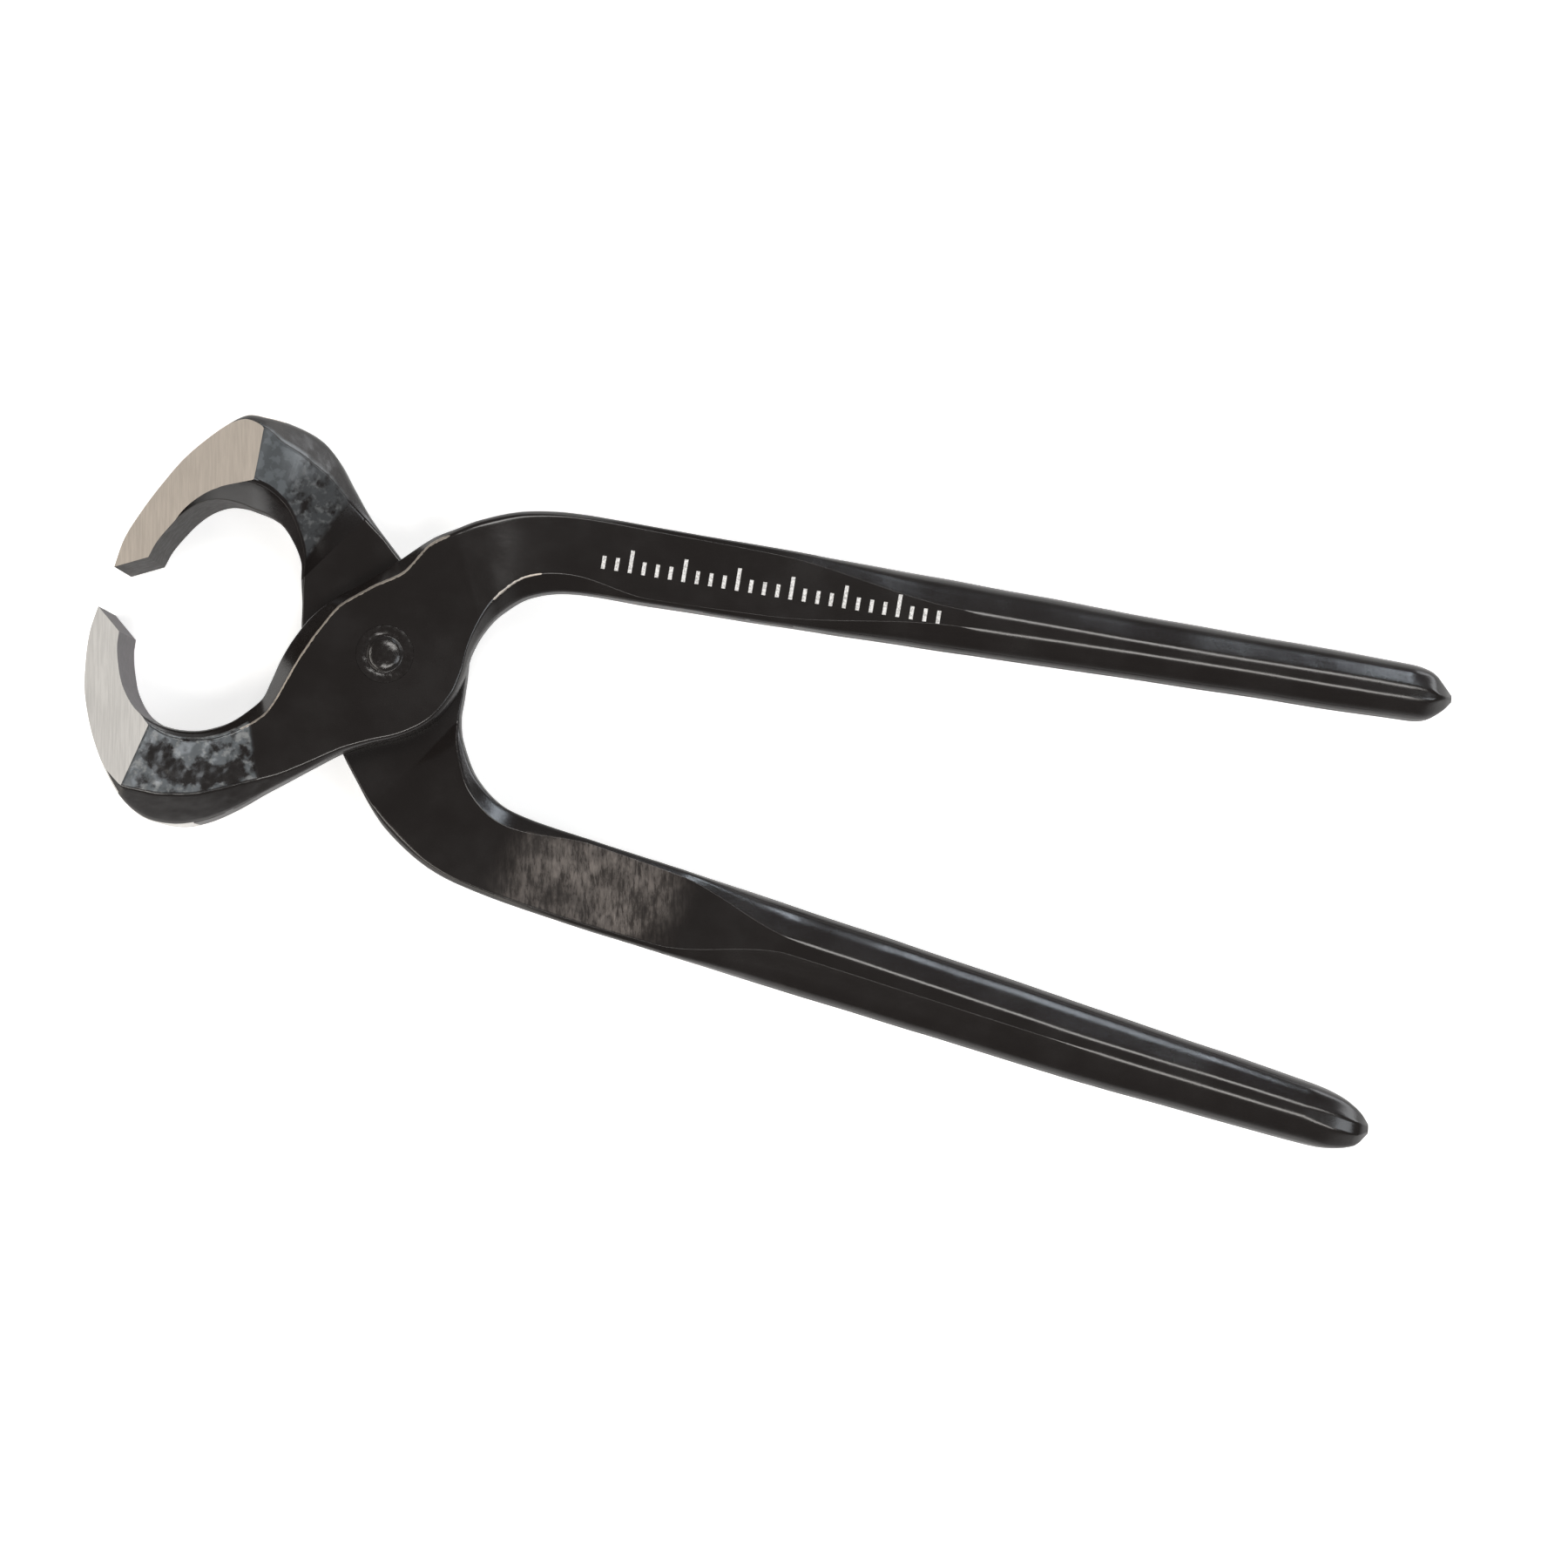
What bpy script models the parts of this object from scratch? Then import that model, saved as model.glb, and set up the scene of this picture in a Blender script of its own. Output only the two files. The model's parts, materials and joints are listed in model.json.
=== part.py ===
"""Carpenter's pincers: two crossed steel levers that turn on one flush rivet.

The tool lies flat. +X runs from the jaws to the handle ends, halfway between the two handles, and +Z is
the rivet's axis. Each lever is one forging: its jaw and the handle on the other side of the rivet. The
front lever lies over the rear one at the joint. Both are drawn the same way round, jaw down and handle
up, and the rear one is then turned half a turn about the tool's long axis.

A forging is skinned over cross-sections. Each section is a chord from side A (the throat, then the
outside of the handle) to side B (the jaw's back, then the inside of the handle), with a height over and
under the middle plane and a bevel at each of its four corners. All lengths below are in millimetres.
"""

import math
from collections import namedtuple

import bmesh
import bpy
from mathutils import Vector

MM = 0.001

JAW_HALF = 12.0  # half the depth of the jaws between their ground side faces
RAW_HALF = 13.0  # half the depth of the forged jaw before its sides are ground flat
JOINT_HALF = 7.0  # half the depth of the two levers together at the rivet
LAP = 0.15  # each lapped face stands this far from the middle plane
HANDLE_HALF = 4.4  # half the thickness of a handle

RIVET_SHANK_R = 3.6
RIVET_HEAD_R = 5.3
RIVET_HEAD_CONE = 1.9  # how deep the countersunk head reaches below its rim
RIVET_DOME_R = 3.1
RIVET_DOME_RISE = 0.7
RIVET_DOME_STEPS = 5
RIVET_EDGE = 0.3  # chamfer round the head's rim
RIVET_RIM = JOINT_HALF - 0.1  # the head's rim lies just below the lever's face
RIVET_GAP = 0.3
HOLE_OVERRUN = 2.0  # the hole's cutter reaches this far past the lever's face
ROUND_SIDES = 48
WELD = 0.01

SECTIONS_PER_SPAN = 3
CREASE = 0.3  # bevel of an edge that is left almost sharp

# What every section of either forging has. Over is the face side and under the lapped side; each bevel
# is (how far in from the edge it starts, how far down the side it ends).
Section = namedtuple("Section", "name over under over_a over_b under_a under_b")

SHARP = (CREASE, CREASE)
RAW = (0.6, 0.6)
FORGING = [
    Section("edge", RAW_HALF, -RAW_HALF, RAW, RAW, RAW, RAW),
    Section("jaw_tip", RAW_HALF, -RAW_HALF, RAW, RAW, RAW, RAW),
    Section("jaw_upper", RAW_HALF, -RAW_HALF, RAW, RAW, RAW, RAW),
    Section("jaw_middle", RAW_HALF, -RAW_HALF, RAW, RAW, (1.0, 1.6), RAW),
    Section("jaw_lower", RAW_HALF, -RAW_HALF, RAW, RAW, (1.4, 2.6), RAW),
    Section("face_crest", JAW_HALF, -RAW_HALF, (0.9, 0.8), (1.6, 1.4), (2.2, 4.8), RAW),
    Section("claw", 10.8, -12.6, (1.6, 1.4), (4.6, 4.0), (3.4, 7.0), (1.5, 1.4)),
    Section("lap_crest", 9.7, -JAW_HALF, (1.9, 1.6), (5.4, 4.6), (4.4, 9.0), (2.0, 1.8)),
    Section("claw_root", 8.8, -9.8, (2.1, 1.9), (5.0, 4.2), (4.2, 6.6), (4.0, 3.4)),
    Section("flare", 7.8, -7.2, (2.3, 2.2), (4.0, 3.2), (3.4, 4.4), (4.4, 3.4)),
    Section("flare_end", JOINT_HALF, -4.8, (2.8, 2.6), (2.6, 2.2), (2.4, 2.6), (3.4, 2.4)),
    Section("neck", JOINT_HALF, -2.4, (3.1, 3.0), (1.6, 1.4), (1.6, 1.4), (2.2, 1.6)),
    Section("lap_start", JOINT_HALF, LAP, (3.4, 3.3), (1.2, 1.0), (0.8, 0.8), (0.9, 0.8)),
    Section("shoulder", JOINT_HALF, LAP, (3.6, 3.6), (0.7, 0.7), SHARP, SHARP),
    Section("boss_1", JOINT_HALF, LAP, (3.5, 3.6), (0.6, 0.6), SHARP, SHARP),
    Section("boss_2", JOINT_HALF, LAP, (3.1, 3.4), (0.6, 0.6), SHARP, SHARP),
    Section("boss_3", JOINT_HALF, LAP, (2.0, 3.0), (0.6, 0.6), SHARP, SHARP),
    Section("boss_4", JOINT_HALF, LAP, (1.7, 3.0), (0.6, 0.6), SHARP, SHARP),
    Section("boss_5", JOINT_HALF, LAP, (2.6, 3.0), (0.8, 0.8), SHARP, SHARP),
    Section("handle_root", JOINT_HALF, LAP, (0.9, 1.2), (1.4, 1.2), SHARP, SHARP),
    Section("lap_end", JOINT_HALF, LAP, (0.8, 0.8), (2.2, 1.6), (0.5, 0.5), (0.5, 0.5)),
    Section("bend_1", 6.7, -1.3, (0.8, 0.8), (3.0, 2.0), (0.8, 0.8), (1.4, 1.0)),
    Section("bend_2", 5.6, -3.5, (0.8, 0.8), (3.6, 2.2), (0.8, 0.8), (2.6, 1.8)),
    Section("bend_3", 4.8, -HANDLE_HALF, (0.8, 0.8), (3.2, 1.8), (0.8, 0.8), (3.0, 1.8)),
    Section("flat_start", HANDLE_HALF, -HANDLE_HALF, (1.0, 1.0), (1.4, 1.2), (1.0, 1.0), (1.4, 1.2)),
    Section("flat_end", HANDLE_HALF, -HANDLE_HALF, (1.6, 1.2), (1.6, 1.2), (1.6, 1.2), (1.6, 1.2)),
    Section("ridge_start", HANDLE_HALF, -HANDLE_HALF, (5.3, 2.4), (4.8, 2.4), (5.3, 2.4), (4.8, 2.4)),
    Section("ridge_middle", HANDLE_HALF, -HANDLE_HALF, (4.9, 2.7), (4.6, 2.7), (4.9, 2.7), (4.6, 2.7)),
    Section("ridge_end", HANDLE_HALF, -HANDLE_HALF, (4.3, 2.9), (4.0, 2.9), (4.3, 2.9), (4.0, 2.9)),
    Section("point_start", 4.1, -4.1, (3.6, 2.6), (3.4, 2.6), (3.6, 2.6), (3.4, 2.6)),
    Section("point_middle", 2.9, -2.9, (2.0, 1.7), (2.0, 1.7), (2.0, 1.7), (2.0, 1.7)),
    Section("point", 1.0, -1.0, (0.4, 0.5), (0.4, 0.5), (0.4, 0.5), (0.4, 0.5)),
]

# Where each section's ends are in plan: side A, then side B, measured from the rivet's axis.
FRONT_PLAN = [
    ((-47.9, -7.5), (-52.7, -3.9)),
    ((-47.6, -10.2), (-53.1, -8.8)),
    ((-46.5, -13.7), (-52.5, -14.6)),
    ((-44.8, -17.2), (-51.1, -20.6)),
    ((-41.8, -20.5), (-47.2, -28.7)),
    ((-38.4, -22.0), (-41.2, -36.5)),
    ((-34.2, -22.4), (-36.2, -39.6)),
    ((-30.4, -21.8), (-30.8, -39.6)),
    ((-27.6, -20.6), (-25.7, -37.7)),
    ((-24.7, -18.6), (-20.6, -34.2)),
    ((-22.1, -15.7), (-16.4, -30.4)),
    ((-20.3, -13.0), (-12.6, -27.2)),
    ((-19.6, -9.9), (-8.7, -23.9)),
    ((-18.7, -5.1), (-3.5, -19.4)),
    ((-17.2, -0.5), (1.2, -16.6)),
    ((-15.0, 4.0), (6.6, -13.9)),
    ((-11.6, 8.2), (11.2, -10.0)),
    ((-7.2, 12.0), (13.9, -4.9)),
    ((-2.2, 17.1), (14.9, -0.5)),
    ((3.4, 22.8), (15.3, 4.2)),
    ((7.2, 25.5), (16.5, 8.2)),
    ((11.2, 28.2), (18.6, 12.1)),
    ((18.4, 31.6), (23.1, 16.6)),
    ((28.0, 33.6), (30.0, 19.1)),
    ((44.0, 34.6), (45.3, 20.4)),
    ((90.0, 37.6), (91.3, 23.9)),
    ((101.0, 38.1), (102.3, 24.9)),
    ((140.0, 40.0), (141.2, 28.4)),
    ((184.5, 42.5), (185.6, 32.1)),
    ((188.5, 41.9), (189.0, 33.0)),
    ((191.1, 39.9), (191.7, 35.4)),
    ((192.7, 38.5), (192.9, 37.3)),
]
REAR_PLAN = [
    ((-45.9, -7.0), (-51.6, -3.8)),
    ((-45.1, -10.0), (-51.0, -9.3)),
    ((-43.6, -13.1), (-49.2, -14.7)),
    ((-41.6, -16.4), (-46.7, -20.5)),
    ((-39.1, -19.1), (-43.5, -26.6)),
    ((-36.2, -20.6), (-38.9, -32.6)),
    ((-33.2, -20.9), (-34.7, -36.7)),
    ((-30.3, -20.6), (-30.9, -37.2)),
    ((-27.4, -20.1), (-26.3, -37.2)),
    ((-24.2, -18.7), (-21.0, -35.8)),
    ((-21.5, -16.0), (-17.1, -32.8)),
    ((-19.7, -13.1), (-13.8, -29.0)),
    ((-19.1, -9.9), (-9.7, -24.6)),
    ((-17.9, -6.0), (-5.5, -21.0)),
    ((-16.8, -1.0), (0.0, -16.8)),
    ((-15.0, 3.6), (6.2, -14.0)),
    ((-11.8, 8.2), (11.0, -10.0)),
    ((-8.0, 13.8), (13.9, -4.9)),
    ((-3.8, 19.7), (14.8, -0.5)),
    ((0.1, 24.2), (15.3, 4.0)),
    ((3.5, 28.0), (15.7, 8.1)),
    ((7.6, 31.5), (17.2, 12.2)),
    ((15.8, 36.0), (21.7, 18.4)),
    ((24.4, 38.3), (28.7, 22.4)),
    ((44.0, 40.4), (45.5, 24.3)),
    ((86.0, 43.2), (87.4, 27.8)),
    ((101.0, 44.1), (102.3, 29.1)),
    ((140.0, 46.5), (141.2, 32.7)),
    ((183.0, 48.1), (184.6, 36.9)),
    ((189.2, 47.9), (190.3, 38.1)),
    ((194.3, 46.2), (194.0, 40.0)),
    ((196.2, 43.5), (195.9, 41.8)),
]


def clear_scene():
    for thing in list(bpy.data.objects):
        bpy.data.objects.remove(thing, do_unlink=True)


def steel(name, colour, roughness, metallic):
    material = bpy.data.materials.new(name)
    material.use_nodes = True
    shader = material.node_tree.nodes["Principled BSDF"]
    shader.inputs["Base Color"].default_value = (*colour, 1.0)
    shader.inputs["Roughness"].default_value = roughness
    shader.inputs["Metallic"].default_value = metallic
    return material


def on_curve(points, position):
    """The point at a position, counted in points, of the smooth curve through all the points."""
    last = len(points) - 1
    start = min(int(position), last - 1)
    t = position - start
    p1, p2 = Vector(points[start]), Vector(points[start + 1])
    p0 = Vector(points[start - 1]) if start > 0 else 2 * p1 - p2
    p3 = Vector(points[start + 2]) if start + 2 <= last else 2 * p2 - p1
    length = max((p2 - p1).length, 1e-9)
    slope_1 = (p2 - p0) * length / ((p2 - p1).length + (p1 - p0).length)
    slope_2 = (p3 - p1) * length / ((p3 - p2).length + (p2 - p1).length)
    return (
        (2 * t**3 - 3 * t**2 + 1) * p1
        + (t**3 - 2 * t**2 + t) * slope_1
        + (3 * t**2 - 2 * t**3) * p2
        + (t**3 - t**2) * slope_2
    )


def between(first, second, t):
    """Linear mix of two sections' heights and bevels."""
    mixed = []
    for a, b in zip(first[1:], second[1:]):
        if isinstance(a, tuple):
            mixed.append(tuple(x + (y - x) * t for x, y in zip(a, b)))
        else:
            mixed.append(a + (b - a) * t)
    return Section(first.name, *mixed)


def section_ring(plan, position):
    """The eight corners of the section at a position along the forging."""
    start = min(int(position), len(FORGING) - 2)
    section = between(FORGING[start], FORGING[start + 1], position - start)
    side_a = on_curve([pair[0] for pair in plan], position)
    side_b = on_curve([pair[1] for pair in plan], position)
    across = (side_b - side_a).normalized()
    width = (side_b - side_a).length

    def corner(along, height):
        spot = side_a + across * along
        return Vector((spot.x, spot.y, height)) * MM

    return [
        corner(0, section.over - section.over_a[1]),
        corner(section.over_a[0], section.over),
        corner(width - section.over_b[0], section.over),
        corner(width, section.over - section.over_b[1]),
        corner(width, section.under + section.under_b[1]),
        corner(width - section.under_b[0], section.under),
        corner(section.under_a[0], section.under),
        corner(0, section.under + section.under_a[1]),
    ]


def skin(bm, plan):
    """Skins the forging's sections, bridging each ring to the next and closing both ends."""
    steps = (len(FORGING) - 1) * SECTIONS_PER_SPAN
    rings = []
    for step in range(steps + 1):
        ring = section_ring(plan, step / SECTIONS_PER_SPAN)
        rings.append([bm.verts.new(corner) for corner in ring])
    for ring, following in zip(rings, rings[1:]):
        for i in range(len(ring)):
            j = (i + 1) % len(ring)
            bm.faces.new((ring[i], ring[j], following[j], following[i]))
    bm.faces.new(reversed(rings[0]))
    bm.faces.new(rings[-1])
    bmesh.ops.recalc_face_normals(bm, faces=bm.faces)


def grind_jaw_sides(bm):
    """Cuts both sides of the raw jaw off flat, which leaves its two ground side faces."""
    for side in (1, -1):
        everything = bm.verts[:] + bm.edges[:] + bm.faces[:]
        level = Vector((0, 0, side * JAW_HALF * MM))
        cut = bmesh.ops.bisect_plane(
            bm, geom=everything, plane_co=level, plane_no=(0, 0, side), clear_outer=True
        )
        edges = [item for item in cut["geom_cut"] if isinstance(item, bmesh.types.BMEdge)]
        bmesh.ops.contextual_create(bm, geom=edges)
    bmesh.ops.recalc_face_normals(bm, faces=bm.faces)


def countersink(gap):
    """The rivet's side above the middle plane, up to its rim, as (radius, height), grown by a gap."""
    return [
        (RIVET_SHANK_R + gap, RIVET_RIM - RIVET_HEAD_CONE),
        (RIVET_HEAD_R + gap, RIVET_RIM - RIVET_EDGE),
    ]


def mirrored(upper):
    """The whole outline of a turned piece whose lower half mirrors its upper half."""
    return [(radius, -height) for radius, height in reversed(upper)] + upper


def turned(name, outline):
    """A closed turned solid from an outline of (radius, height) that starts and ends on the axis."""
    bm = bmesh.new()
    points = [bm.verts.new((radius * MM, 0, height * MM)) for radius, height in outline]
    edges = [bm.edges.new(pair) for pair in zip(points, points[1:])]
    bmesh.ops.spin(
        bm, geom=points + edges, cent=(0, 0, 0), axis=(0, 0, 1), angle=math.tau, steps=ROUND_SIDES
    )
    bmesh.ops.remove_doubles(bm, verts=bm.verts, dist=WELD * MM)
    bmesh.ops.recalc_face_normals(bm, faces=bm.faces)
    return placed(name, bm)


def placed(name, bm):
    mesh = bpy.data.meshes.new(name)
    bm.to_mesh(mesh)
    bm.free()
    thing = bpy.data.objects.new(name, mesh)
    bpy.context.scene.collection.objects.link(thing)
    return thing


def finish_surface(thing, material, smooth_below):
    thing.data.materials.append(material)
    thing.data.shade_smooth()
    thing.data.set_sharp_from_angle(angle=math.radians(smooth_below))


def make_rivet(material):
    """The rivet: a shank with a countersunk head at each end and a low dome left by the peening."""
    dome = []
    for step in range(RIVET_DOME_STEPS, 0, -1):
        angle = math.radians(90 * step / RIVET_DOME_STEPS)
        rise = RIVET_DOME_RISE * math.cos(angle)
        dome.append((RIVET_DOME_R * math.sin(angle), RIVET_RIM + rise))
    crown = (0, RIVET_RIM + RIVET_DOME_RISE)
    upper = countersink(0) + [(RIVET_HEAD_R - RIVET_EDGE, RIVET_RIM)] + dome + [crown]
    rivet = turned("pivot_rivet", mirrored(upper))
    finish_surface(rivet, material, 30)
    return rivet


def make_rivet_hole():
    """The cutter for the countersunk hole through both levers."""
    above = JOINT_HALF + HOLE_OVERRUN
    mouth = (RIVET_HEAD_R + RIVET_GAP, above)
    cutter = turned("rivet_hole_cutter", mirrored(countersink(RIVET_GAP) + [mouth, (0, above)]))
    cutter.hide_render = True
    cutter.display_type = "WIRE"
    return cutter


def make_lever(name, plan, cutter, material):
    bm = bmesh.new()
    skin(bm, plan)
    grind_jaw_sides(bm)
    lever = placed(name, bm)
    hole = lever.modifiers.new("rivet hole", "BOOLEAN")
    hole.operation = "DIFFERENCE"
    hole.solver = "EXACT"
    hole.object = cutter
    finish_surface(lever, material, 25)
    return lever


def stand_on_ground(pivot, pieces):
    """Moves the pivot so that the whole tool's box is centred on the origin and its lowest face is at z = 0."""
    bpy.context.view_layer.update()
    corners = [piece.matrix_world @ vertex.co for piece in pieces for vertex in piece.data.vertices]
    low = Vector(min(corner[i] for corner in corners) for i in range(3))
    high = Vector(max(corner[i] for corner in corners) for i in range(3))
    middle = (low + high) / 2
    pivot.location = (-middle.x, -middle.y, -low.z)


def main():
    clear_scene()
    lacquer = steel("black_lacquered_steel", (0.016, 0.014, 0.013), 0.3, 0.0)
    rivet_steel = steel("lacquered_rivet_steel", (0.02, 0.018, 0.017), 0.28, 0.1)

    pivot = bpy.data.objects.new("pivot_axis", None)
    bpy.context.scene.collection.objects.link(pivot)
    rivet = make_rivet(rivet_steel)
    cutter = make_rivet_hole()
    front = make_lever("front_lever", FRONT_PLAN, cutter, lacquer)
    rear = make_lever("rear_lever", REAR_PLAN, cutter, lacquer)
    rear.rotation_euler.x = math.pi
    for piece in (rivet, cutter, front, rear):
        piece.parent = pivot
    stand_on_ground(pivot, (rivet, front, rear))


main()
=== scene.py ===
"""Carpenter's pincers as they look: smooth lacquered forgings, ground jaws and a peened rivet, in a studio.

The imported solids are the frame. Each is replaced by a finer piece of the same size in the same place: the
two levers are skinned over the same cross-sections as the solids, on a much finer grid, with rounded
corners and the unevenness of a drop forging. Shape lengths are in millimetres from the rivet's centre and
become metres when a mesh is made. The camera, the lights and the floor are in metres.
"""

import json
import math
from collections import namedtuple

import bmesh
import bpy
import numpy as np
from mathutils import Matrix, Vector, bvhtree, noise


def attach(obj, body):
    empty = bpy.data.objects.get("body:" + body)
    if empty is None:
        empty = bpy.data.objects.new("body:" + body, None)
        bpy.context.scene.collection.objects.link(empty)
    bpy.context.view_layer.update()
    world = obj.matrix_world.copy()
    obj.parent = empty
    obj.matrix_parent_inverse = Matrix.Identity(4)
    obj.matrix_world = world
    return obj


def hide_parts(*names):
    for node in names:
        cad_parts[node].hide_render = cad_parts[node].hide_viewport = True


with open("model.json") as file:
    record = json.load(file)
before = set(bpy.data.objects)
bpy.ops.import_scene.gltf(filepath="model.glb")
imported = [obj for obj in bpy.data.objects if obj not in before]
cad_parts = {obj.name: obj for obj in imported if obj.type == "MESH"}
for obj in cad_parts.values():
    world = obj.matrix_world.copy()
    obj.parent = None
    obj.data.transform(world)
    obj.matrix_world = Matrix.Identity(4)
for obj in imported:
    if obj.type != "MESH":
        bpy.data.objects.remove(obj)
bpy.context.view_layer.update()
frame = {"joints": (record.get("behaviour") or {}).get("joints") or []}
PIVOT = Vector(frame["joints"][0]["pos_m"])

MM = 0.001

# ---------------------------------------------------------------- the forgings' shape

JAW_HALF = 12.0  # half the depth of the jaws between their ground side faces
RAW_HALF = 13.0  # half the depth of the forged jaw before its sides are ground flat
JOINT_HALF = 7.0  # half the depth of the two levers together at the rivet
LAP = 0.15  # each lapped face stands this far from the middle plane
HANDLE_HALF = 4.4  # half the thickness of a handle

# A cross-section: the heights of its over and under faces, and how far in and how far down each of its
# four corners is bevelled.
Section = namedtuple("Section", "name over under over_a over_b under_a under_b")

SHARP = (0.3, 0.3)
RAW = (0.6, 0.6)
FORGING = [
    Section("edge", RAW_HALF, -RAW_HALF, RAW, RAW, RAW, RAW),
    Section("jaw_tip", RAW_HALF, -RAW_HALF, RAW, RAW, RAW, RAW),
    Section("jaw_upper", RAW_HALF, -RAW_HALF, RAW, RAW, RAW, RAW),
    Section("jaw_middle", RAW_HALF, -RAW_HALF, RAW, RAW, (1.0, 1.6), RAW),
    Section("jaw_lower", RAW_HALF, -RAW_HALF, RAW, RAW, (1.4, 2.6), RAW),
    Section("face_crest", JAW_HALF, -RAW_HALF, (0.9, 0.8), (1.6, 1.4), (2.2, 4.8), RAW),
    Section("claw", 10.8, -12.6, (1.6, 1.4), (4.6, 4.0), (3.4, 7.0), (1.5, 1.4)),
    Section("lap_crest", 9.7, -JAW_HALF, (1.9, 1.6), (5.4, 4.6), (4.4, 9.0), (2.0, 1.8)),
    Section("claw_root", 8.8, -9.8, (2.1, 1.9), (5.0, 4.2), (4.2, 6.6), (4.0, 3.4)),
    Section("flare", 7.8, -7.2, (2.3, 2.2), (4.0, 3.2), (3.4, 4.4), (4.4, 3.4)),
    Section("flare_end", JOINT_HALF, -4.8, (2.8, 2.6), (2.6, 2.2), (2.4, 2.6), (3.4, 2.4)),
    Section("neck", JOINT_HALF, -2.4, (3.1, 3.0), (1.6, 1.4), (1.6, 1.4), (2.2, 1.6)),
    Section("lap_start", JOINT_HALF, LAP, (3.4, 3.3), (1.2, 1.0), (0.8, 0.8), (0.9, 0.8)),
    Section("shoulder", JOINT_HALF, LAP, (3.6, 3.6), (0.7, 0.7), SHARP, SHARP),
    Section("boss_1", JOINT_HALF, LAP, (3.5, 3.6), (0.6, 0.6), SHARP, SHARP),
    Section("boss_2", JOINT_HALF, LAP, (3.1, 3.4), (0.6, 0.6), SHARP, SHARP),
    Section("boss_3", JOINT_HALF, LAP, (2.0, 3.0), (0.6, 0.6), SHARP, SHARP),
    Section("boss_4", JOINT_HALF, LAP, (1.7, 3.0), (0.6, 0.6), SHARP, SHARP),
    Section("boss_5", JOINT_HALF, LAP, (2.6, 3.0), (0.8, 0.8), SHARP, SHARP),
    Section("handle_root", JOINT_HALF, LAP, (0.9, 1.2), (1.4, 1.2), SHARP, SHARP),
    Section("lap_end", JOINT_HALF, LAP, (0.8, 0.8), (2.2, 1.6), (0.5, 0.5), (0.5, 0.5)),
    Section("bend_1", 6.7, -1.3, (0.8, 0.8), (3.0, 2.0), (0.8, 0.8), (1.4, 1.0)),
    Section("bend_2", 5.6, -3.5, (0.8, 0.8), (3.6, 2.2), (0.8, 0.8), (2.6, 1.8)),
    Section("bend_3", 4.8, -HANDLE_HALF, (0.8, 0.8), (3.2, 1.8), (0.8, 0.8), (3.0, 1.8)),
    Section("flat_start", HANDLE_HALF, -HANDLE_HALF, (0.9, 0.4), (0.9, 0.6), (0.9, 0.6), (0.9, 0.6)),
    Section("flat_end", HANDLE_HALF, -HANDLE_HALF, (1.3, 0.55), (1.3, 0.7), (1.3, 0.7), (1.3, 0.7)),
    Section("ridge_start", HANDLE_HALF, -HANDLE_HALF, (5.3, 2.1), (4.8, 2.4), (5.3, 2.5), (4.8, 2.4)),
    Section("ridge_middle", HANDLE_HALF, -HANDLE_HALF, (4.9, 2.0), (4.6, 2.4), (4.9, 2.5), (4.6, 2.4)),
    Section("ridge_end", HANDLE_HALF, -HANDLE_HALF, (4.3, 1.9), (4.0, 2.2), (4.3, 2.3), (4.0, 2.2)),
    Section("point_start", 4.1, -4.1, (3.6, 2.2), (3.4, 2.6), (3.6, 2.6), (3.4, 2.6)),
    Section("point_middle", 2.9, -2.9, (2.0, 1.7), (2.0, 1.7), (2.0, 1.7), (2.0, 1.7)),
    Section("point", 1.0, -1.0, (0.4, 0.5), (0.4, 0.5), (0.4, 0.5), (0.4, 0.5)),
]
AT = {section.name: index for index, section in enumerate(FORGING)}
# The sections where the skin's slope changes at once.
CREASES = ("edge", "face_crest", "flare_end", "lap_start", "lap_end", "ridge_end", "point")

# Where each section's ends are in plan: side A, then side B, measured from the rivet's axis.
FRONT_PLAN = [
    ((-47.9, -7.5), (-52.7, -3.9)),
    ((-47.6, -10.2), (-53.1, -8.8)),
    ((-46.5, -13.7), (-52.5, -14.6)),
    ((-44.8, -17.2), (-51.1, -20.6)),
    ((-41.8, -20.5), (-47.2, -28.7)),
    ((-38.4, -22.0), (-41.2, -36.5)),
    ((-34.2, -22.4), (-36.2, -39.6)),
    ((-30.4, -21.8), (-30.8, -39.6)),
    ((-27.6, -20.6), (-25.7, -37.7)),
    ((-24.7, -18.6), (-20.6, -34.2)),
    ((-22.1, -15.7), (-16.4, -30.4)),
    ((-20.3, -13.0), (-12.6, -27.2)),
    ((-19.6, -9.9), (-8.7, -23.9)),
    ((-18.7, -5.1), (-3.5, -19.4)),
    ((-17.2, -0.5), (1.2, -16.6)),
    ((-15.0, 4.0), (6.6, -13.9)),
    ((-11.6, 8.2), (11.2, -10.0)),
    ((-7.2, 12.0), (13.9, -4.9)),
    ((-2.2, 17.1), (14.9, -0.5)),
    ((3.4, 22.8), (15.3, 4.2)),
    ((7.2, 25.5), (16.5, 8.2)),
    ((11.2, 28.2), (18.6, 12.1)),
    ((18.4, 31.6), (23.1, 16.6)),
    ((28.0, 33.6), (30.0, 19.1)),
    ((44.0, 34.6), (45.3, 20.4)),
    ((66.0, 36.05), (67.3, 22.1)),
    ((101.0, 38.1), (102.3, 24.9)),
    ((140.0, 40.0), (141.2, 28.4)),
    ((184.5, 42.5), (185.6, 32.1)),
    ((188.5, 41.9), (189.0, 33.0)),
    ((191.1, 39.9), (191.7, 35.4)),
    ((192.7, 38.5), (192.9, 37.3)),
]
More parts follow.
